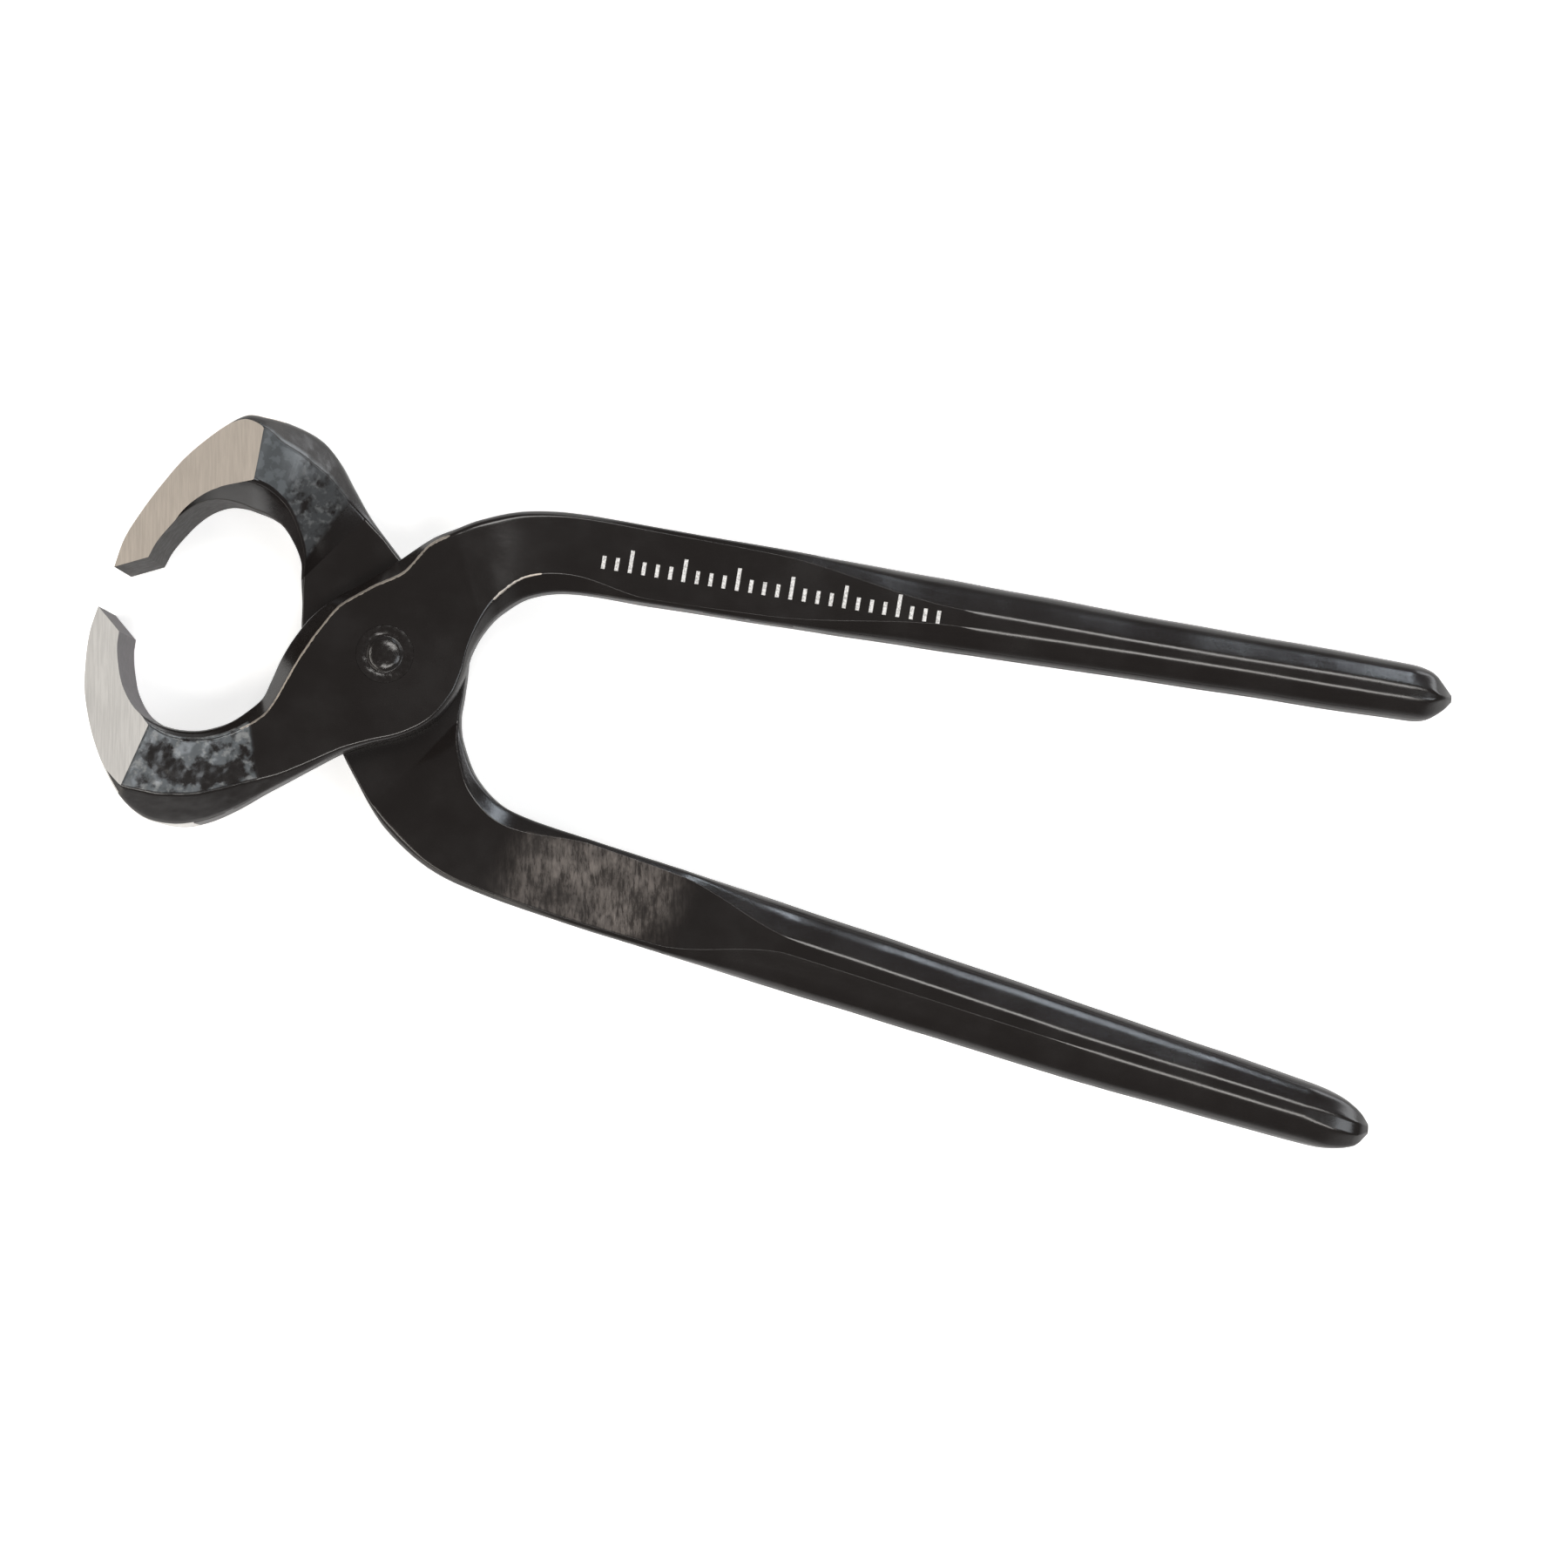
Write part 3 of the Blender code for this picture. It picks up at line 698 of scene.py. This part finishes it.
def node(tree, kind, inputs=None, **settings):
    """A new node with its settings. An input, by name or number, is a value or a socket to link."""
    made = tree.nodes.new(kind)
    for key, value in settings.items():
        setattr(made, key, value)
    for key, value in (inputs or {}).items():
        if isinstance(value, bpy.types.NodeSocket):
            tree.links.new(value, made.inputs[key])
        else:
            made.inputs[key].default_value = value
    return made


def maths(tree, operation, *values, clamp=False):
    """One step of arithmetic on values or sockets."""
    made = node(tree, "ShaderNodeMath", dict(enumerate(values)), operation=operation, use_clamp=clamp)
    return made.outputs[0]


def spread(tree, value, low, high, to_low=0.0, to_high=1.0):
    """The value's range from low to high, stretched to another range and held inside it."""
    inputs = {"Value": value, "From Min": low, "From Max": high, "To Min": to_low, "To Max": to_high}
    return node(tree, "ShaderNodeMapRange", inputs, interpolation_type="SMOOTHSTEP").outputs[0]


def blend_colour(tree, share, first, second):
    """The first colour with a share of the second blended in."""
    made = tree.nodes.new("ShaderNodeMix")
    made.data_type = "RGBA"
    sockets = [s for s in made.inputs if s.type == "RGBA"]
    factor = made.inputs[0]
    for socket, value in ((factor, share), (sockets[0], first), (sockets[1], second)):
        if isinstance(value, bpy.types.NodeSocket):
            tree.links.new(value, socket)
        else:
            socket.default_value = value if isinstance(value, float) else (*value, 1.0)
    return [s for s in made.outputs if s.type == "RGBA"][0]


def millimetres(tree, turn=0.0, stretch=(1, 1, 1)):
    """The piece's own coordinates in millimetres, turned about +Z and stretched."""
    source = node(tree, "ShaderNodeTexCoord").outputs["Object"]
    turned = node(
        tree, "ShaderNodeMapping", {"Vector": source, "Rotation": (0, 0, turn)}, vector_type="POINT"
    ).outputs[0]
    scale = tuple(1000.0 * s for s in stretch)
    return node(tree, "ShaderNodeMapping", {"Vector": turned, "Scale": scale}, vector_type="POINT").outputs[0]


def grain(tree, where, per_mm, detail=3.0, rough=0.5):
    """Noise between 0 and 1, with so many waves to a millimetre."""
    inputs = {"Vector": where, "Scale": per_mm, "Detail": detail, "Roughness": rough}
    return node(tree, "ShaderNodeTexNoise", inputs).outputs[0]


def mark(tree, name):
    """How strongly a place carries one of the skin's marks."""
    return node(tree, "ShaderNodeAttribute", attribute_name=name).outputs["Fac"]


def new_material(name):
    """A material that is nothing but its shader and its output."""
    material = bpy.data.materials.new(name)
    material.use_nodes = True
    tree = material.node_tree
    tree.nodes.clear()
    shader = tree.nodes.new("ShaderNodeBsdfPrincipled")
    output = tree.nodes.new("ShaderNodeOutputMaterial")
    tree.links.new(shader.outputs[0], output.inputs["Surface"])
    return material, tree, shader


def connect(tree, shader, **sockets):
    """Sets or links the shader's sockets by name."""
    for name, value in sockets.items():
        socket = shader.inputs[name.replace("_", " ")]
        if isinstance(value, bpy.types.NodeSocket):
            tree.links.new(value, socket)
        else:
            socket.default_value = value


def bumped(tree, height, distance_mm, strength=1.0, normal=None):
    """The surface's direction with relief added, on top of other relief if any is given."""
    inputs = {"Height": height, "Distance": distance_mm * MM, "Strength": strength}
    if normal is not None:
        inputs["Normal"] = normal
    return node(tree, "ShaderNodeBump", inputs).outputs[0]


BRUSH_TURN = math.radians(-13.4)  # the grinding lines run square to this direction
LACQUER = (0.0125, 0.0103, 0.0096)
LACQUER_DUSTY = (0.0165, 0.0142, 0.0136)
# A painted bluish reflection of the lights on the flares.
FLARE_SHEEN = (0.126, 0.138, 0.147)
# Painted glints on the rough part of the flares.
FLARE_GLINTS = (0.245, 0.250, 0.250)
# The lighter warm colour of the patch of file strokes is a painted warm reflection.
WARM_FILED_SHEEN = (0.155, 0.132, 0.118)
# Bare steel where the lacquer is gone from the boss's crest, also used as a painted highlight inside the
# handle's bend.
BARE_STEEL_AND_GLINT = (0.50, 0.445, 0.39)
# The rear jaw's ground steel is the same as the front's, tinted darker and warmer as a painted warm
# reflection.
GROUND_FRONT, GROUND_REAR_WARM_LIT = (0.60, 0.585, 0.565), (0.475, 0.42, 0.365)
# The rear jaw's inside is the same dull steel as the front's, tinted far darker as painted shade.
WALL_FRONT, WALL_REAR_SHADED = (0.20, 0.185, 0.19), (0.050, 0.045, 0.042)
LACQUER_ROUGHNESS = 0.16, 0.22
SIDES_SPECULAR, SIDES_DULLNESS = 0.07, 0.2
GLOSS_IOR = 1.5
CORE_LESS_SHEEN = 0.25  # how much less painted reflection lies on the core of a flare
PANEL_SHEEN = 0.68  # how much painted reflection covers the even panel everywhere
SHEEN_SHARE = 0.85  # how far a full painted reflection hides the lacquer's own colour
CLAW_PITS = 0.35  # of the pits on a rough flare
GROUND_SHADE, WALL_SHADE = 0.84, 0.65  # of the tint, in the darker lines


def lacquered_forging(name, specular=0.5, dullness=0.0):
    """Black gloss lacquer over forged steel: bare on a crest, with a painted highlight on the crest inside
    the bend, painted reflections and glints on the bumpy flares, and file strokes with a painted warm
    reflection on a flat.
    """
    material, tree, shader = new_material(name)
    where = millimetres(tree)
    clouds = grain(tree, where, 0.09, 4.0, 0.55)
    skin = grain(tree, where, 1.3, 4.0, 0.6)
    fine = grain(tree, where, 7.0, 2.0)
    colour = blend_colour(tree, spread(tree, clouds, 0.35, 0.75), LACQUER, LACQUER_DUSTY)

    # The flares get a painted bluish reflection in blotches. It is full on the even panel and thinner on the
    # dark core.
    flare = mark(tree, "flare")
    blotch = grain(tree, where, 0.36, 3.0, 0.55)
    blotch = maths(tree, "SUBTRACT", blotch, maths(tree, "MULTIPLY", mark(tree, "core"), CORE_LESS_SHEEN))
    panel = maths(tree, "MULTIPLY", mark(tree, "even"), PANEL_SHEEN)
    mottled = maths(tree, "MAXIMUM", spread(tree, blotch, 0.35, 0.54), panel)
    flare_reflection = maths(tree, "MULTIPLY", flare, mottled)
    colour = blend_colour(tree, maths(tree, "MULTIPLY", flare_reflection, SHEEN_SHARE), colour, FLARE_SHEEN)
    rough_part = maths(tree, "SUBTRACT", flare_reflection, mark(tree, "even"), clamp=True)
    # Painted glints on the flares' rough part.
    glint_spots = spread(tree, grain(tree, where, 0.75, 3.0), 0.48, 0.68, 0.0, 0.85)
    colour = blend_colour(tree, maths(tree, "MULTIPLY", rough_part, glint_spots), colour, FLARE_GLINTS)

    # File strokes roughen and groove a patch of the handle's flat. Its lighter warm colour there is a painted
    # reflection.
    strokes = grain(tree, millimetres(tree, BRUSH_TURN, (1.4, 0.3, 1.4)), 1.2, 5.0, 0.65)
    patchy = spread(tree, grain(tree, where, 0.16, 4.0, 0.6), 0.3, 0.7, 0.15, 1.0)
    ragged = maths(tree, "MULTIPLY", mark(tree, "filed_sheen"), patchy)
    filed_sheen = maths(tree, "MULTIPLY", ragged, spread(tree, strokes, 0.3, 0.7, 0.15))
    colour = blend_colour(tree, filed_sheen, colour, WARM_FILED_SHEEN)

    # Bare steel on the boss's crest where the lacquer is gone, and a painted highlight on the crest inside
    # the handle's bend.
    rubbed_and_glint = maths(tree, "ADD", mark(tree, "wear_and_glint"), spread(tree, skin, 0.35, 0.65, -0.3, 0.0))
    wear_and_glint = spread(tree, rubbed_and_glint, 0.02, 0.3)
    colour = blend_colour(tree, wear_and_glint, colour, BARE_STEEL_AND_GLINT)

    rough = spread(tree, clouds, 0.3, 0.8, *(value + dullness for value in LACQUER_ROUGHNESS))
    for share, added in ((filed_sheen, 0.3), (wear_and_glint, 0.25)):
        rough = maths(tree, "ADD", rough, maths(tree, "MULTIPLY", share, added))
    pits = grain(tree, where, 0.4, 1.0, 0.4)
    bumpy = maths(tree, "MULTIPLY", flare, maths(tree, "SUBTRACT", 1.0, mark(tree, "even"), clamp=True))
    bumpy = maths(tree, "ADD", bumpy, maths(tree, "MULTIPLY", mark(tree, "claw"), CLAW_PITS))
    surface = bumped(tree, skin, 0.03, 0.4)
    surface = bumped(tree, maths(tree, "MULTIPLY", pits, bumpy), 0.35, 0.7, surface)
    surface = bumped(tree, fine, 0.008, 0.3, surface)
    surface = bumped(tree, maths(tree, "MULTIPLY", strokes, filed_sheen), 0.08, 0.6, surface)
    connect(tree, shader, Base_Color=colour, Roughness=rough, Metallic=wear_and_glint, Normal=surface)
    connect(tree, shader, IOR=GLOSS_IOR, Specular_IOR_Level=specular)
    return material


def ground_steel(name, tint):
    """Steel ground square to the jaw, with fine parallel lines."""
    material, tree, shader = new_material(name)
    lines = grain(tree, millimetres(tree, BRUSH_TURN, (1, 0.05, 0.4)), 3.2, 3.0, 0.65)
    broad = grain(tree, millimetres(tree, BRUSH_TURN, (1, 0.12, 0.4)), 0.6, 3.0, 0.5)
    clouds = grain(tree, millimetres(tree), 0.12, 3.0)
    shade = tuple(c * GROUND_SHADE for c in tint)
    colour = blend_colour(tree, spread(tree, lines, 0.3, 0.7), shade, tint)
    colour = blend_colour(tree, maths(tree, "MULTIPLY", spread(tree, broad, 0.4, 0.7), 0.3), colour, shade)
    rough = spread(tree, clouds, 0.3, 0.7, 0.46, 0.56)
    surface = bumped(tree, lines, 0.02, 0.4)
    connect(tree, shader, Base_Color=colour, Roughness=rough, Metallic=0.6, Normal=surface)
    return material


def wall_steel(name, tint):
    """The dull inside of a jaw, scaly and marked by the cutter."""
    material, tree, shader = new_material(name)
    where = millimetres(tree)
    scale = grain(tree, where, 0.7, 4.0, 0.6)
    lines = grain(tree, millimetres(tree, 0.0, (0.3, 0.3, 2.0)), 1.0, 3.0)
    shade = tuple(c * WALL_SHADE for c in tint)
    colour = blend_colour(tree, spread(tree, scale, 0.35, 0.65), shade, tint)
    colour = blend_colour(tree, maths(tree, "MULTIPLY", spread(tree, lines, 0.45, 0.65), 0.4), colour, shade)
    rough = spread(tree, scale, 0.3, 0.7, 0.5, 0.65)
    surface = bumped(tree, scale, 0.06, 0.5)
    connect(tree, shader, Base_Color=colour, Roughness=rough, Specular_IOR_Level=0.12, Normal=surface)
    return material


def rivet_steel(name):
    """Gloss lacquer over a hammered rivet head."""
    material, tree, shader = new_material(name)
    where = millimetres(tree)
    skin = grain(tree, where, 1.6, 4.0, 0.6)
    clouds = grain(tree, where, 0.4, 3.0)
    colour = blend_colour(tree, spread(tree, clouds, 0.4, 0.7), LACQUER, LACQUER_DUSTY)
    rough = spread(tree, skin, 0.3, 0.7, 0.15, 0.22)
    surface = bumped(tree, skin, 0.06, 0.5)
    connect(tree, shader, Base_Color=colour, Roughness=rough, IOR=GLOSS_IOR, Normal=surface)
    return material


def white_print(name):
    """White ink with slight wear."""
    material, tree, shader = new_material(name)
    ink = grain(tree, millimetres(tree), 3.0, 4.0, 0.6)
    colour = blend_colour(tree, spread(tree, ink, 0.35, 0.6), (0.45, 0.44, 0.43), (0.84, 0.83, 0.82))
    connect(tree, shader, Base_Color=colour, Roughness=0.45, Normal=bumped(tree, ink, 0.01, 0.4))
    return material


def pale_floor(name):
    """A plain pale floor that glows softly."""
    material, tree, shader = new_material(name)
    tone = grain(tree, millimetres(tree), 0.01, 2.0)
    colour = blend_colour(tree, tone, (0.93, 0.93, 0.93), (0.95, 0.95, 0.95))
    connect(tree, shader, Base_Color=colour, Roughness=0.8, Emission_Color=colour, Emission_Strength=0.55)
    return material


# ---------------------------------------------------------------- studio

FLOOR_HALF = 6.0


def make_floor():
    mesh = bpy.data.meshes.new("floor")
    corners = [(x * FLOOR_HALF, y * FLOOR_HALF, 0) for x, y in ((-1, -1), (1, -1), (1, 1), (-1, 1))]
    mesh.from_pydata(corners, [], [(0, 1, 2, 3)])
    floor = placed("floor", mesh, [pale_floor("pale_floor")])


HORIZON, ZENITH = (1.0, 1.0, 1.0), (0.12, 0.12, 0.12)
GLOW_HEIGHT = 0.36  # how far up the horizon's brightness reaches, as a share of the way to the zenith


def make_world():
    """A dim zenith that brightens to a pale horizon."""
    world = bpy.data.worlds.new("studio")
    bpy.context.scene.world = world
    world.use_nodes = True
    tree = world.node_tree
    background = tree.nodes["Background"]
    direction = node(tree, "ShaderNodeTexCoord").outputs["Generated"]
    height = node(tree, "ShaderNodeSeparateXYZ", {"Vector": direction}).outputs["Z"]
    high = spread(tree, height, 0.0, GLOW_HEIGHT)
    colour = blend_colour(tree, high, HORIZON, ZENITH)
    tree.links.new(colour, background.inputs["Color"])


TOOL_MIDDLE = Vector((0.0, 0.0, 0.012))


def leaning(lean, bearing):
    """The direction that leans so far from straight up toward a bearing, both in degrees."""
    lean, bearing = math.radians(lean), math.radians(bearing)
    return Vector((math.sin(lean) * math.cos(bearing), math.sin(lean) * math.sin(bearing), math.cos(lean)))


def softbox(name, lean, bearing, distance, size, radiance, colour):
    """A rectangular light aimed at the middle of the tool from the direction that leans toward a bearing."""
    light = bpy.data.lights.new(name, "AREA")
    light.shape = "RECTANGLE"
    light.size, light.size_y = size
    light.energy = math.pi * size[0] * size[1] * radiance
    light.color = colour
    lamp = bpy.data.objects.new(name, light)
    bpy.context.scene.collection.objects.link(lamp)
    away = leaning(lean, bearing)
    lamp.location = TOOL_MIDDLE + away * distance
    lamp.rotation_euler = (-away).to_track_quat("-Z", "Y").to_euler()


LIGHTS = [  # name, lean, bearing, distance, width and height, radiance, colour
    ("right_key", 33, -8, 1.3, (0.35, 0.6), 4.5, (0.90, 0.95, 1.0)),
    ("bottom_strip", 24, -80, 1.3, (0.6, 0.28), 9.0, (1.0, 0.97, 0.93)),
    ("top_strip", 25, 84, 1.3, (0.6, 0.28), 9.0, (1.0, 0.98, 0.95)),
    ("left_fill", 50, 208, 1.2, (1.5, 0.28), 5.0, (1.0, 0.95, 0.88)),
    ("blue_slit", 58.0, 80.2, 1.37, (0.075, 0.34), 17.0, (0.82, 0.91, 1.0)),
    ("low_right", 80, 55, 1.2, (0.8, 0.25), 4.5, (0.95, 0.97, 1.0)),
    ("low_left", 82, -115, 1.2, (0.8, 0.25), 1.8, (1.0, 0.92, 0.80)),
]


def make_lights():
    for light in LIGHTS:
        softbox(*light)


VIEW_LENS = 133.86
VIEW_DISTANCE = 1.0768
VIEW_LEAN, VIEW_BEARING = 2.692, -51.95  # from straight above, and the way it leans
VIEW_ROLL = 13.464  # how far below level the handles point
VIEW_AIM = Vector((0.07683, -0.00591, 0.0))  # from the rivet's centre
SENSOR_WIDTH = 36.0


def make_camera():
    camera = bpy.data.cameras.new("camera")
    camera.sensor_width = SENSOR_WIDTH
    camera.lens = VIEW_LENS
    holder = bpy.data.objects.new("camera", camera)
    bpy.context.scene.collection.objects.link(holder)
    back = leaning(VIEW_LEAN, VIEW_BEARING)
    roll = math.radians(VIEW_ROLL)
    level = Vector((math.cos(roll), math.sin(roll), 0))
    up = back.cross(level).normalized()
    right = up.cross(back)
    turn = Matrix((right, up, back)).transposed()
    holder.matrix_world = Matrix.Translation(PIVOT + VIEW_AIM + back * VIEW_DISTANCE) @ turn.to_4x4()
    bpy.context.scene.camera = holder


def build():
    lacquer = lacquered_forging("black_lacquer")
    dull = lacquered_forging("black_lacquer_sides", SIDES_SPECULAR, SIDES_DULLNESS)
    ground, wall = ground_steel("ground_front", GROUND_FRONT), wall_steel("wall_front", WALL_FRONT)
    front = make_lever("front_forging", FRONT_PLAN, False, FRONT_SEED, [lacquer, ground, wall, dull])
    # The rear jaw's ground steel gets a darker, warmer tint as a painted warm reflection.
    # The rear jaw's wall is tinted far darker as painted shade.
    ground, wall = ground_steel("ground_rear_warm_lit", GROUND_REAR_WARM_LIT), wall_steel("wall_rear_shaded", WALL_REAR_SHADED)
    rear = make_lever("rear_forging", REAR_PLAN, True, REAR_SEED, [lacquer, ground, wall, dull])
    rivet = make_rivet("peened_rivet", rivet_steel("rivet_lacquer"))
    scale = make_print("handle_scale", front, white_print("white_ink"))
    for piece, body, cad, slot in (
        (front, "front_half", "front_lever", "black_lacquered_steel"),
        (rear, "rear_half", "rear_lever", "black_lacquered_steel"),
        (rivet, "front_half", "pivot_rivet", "lacquered_rivet_steel"),
    ):
        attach(piece, body)
        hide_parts(cad)
    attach(scale, "front_half")


def main():
    bpy.context.scene.view_settings.view_transform = "Standard"
    build()
    make_floor()
    make_world()
    make_lights()
    make_camera()


main()
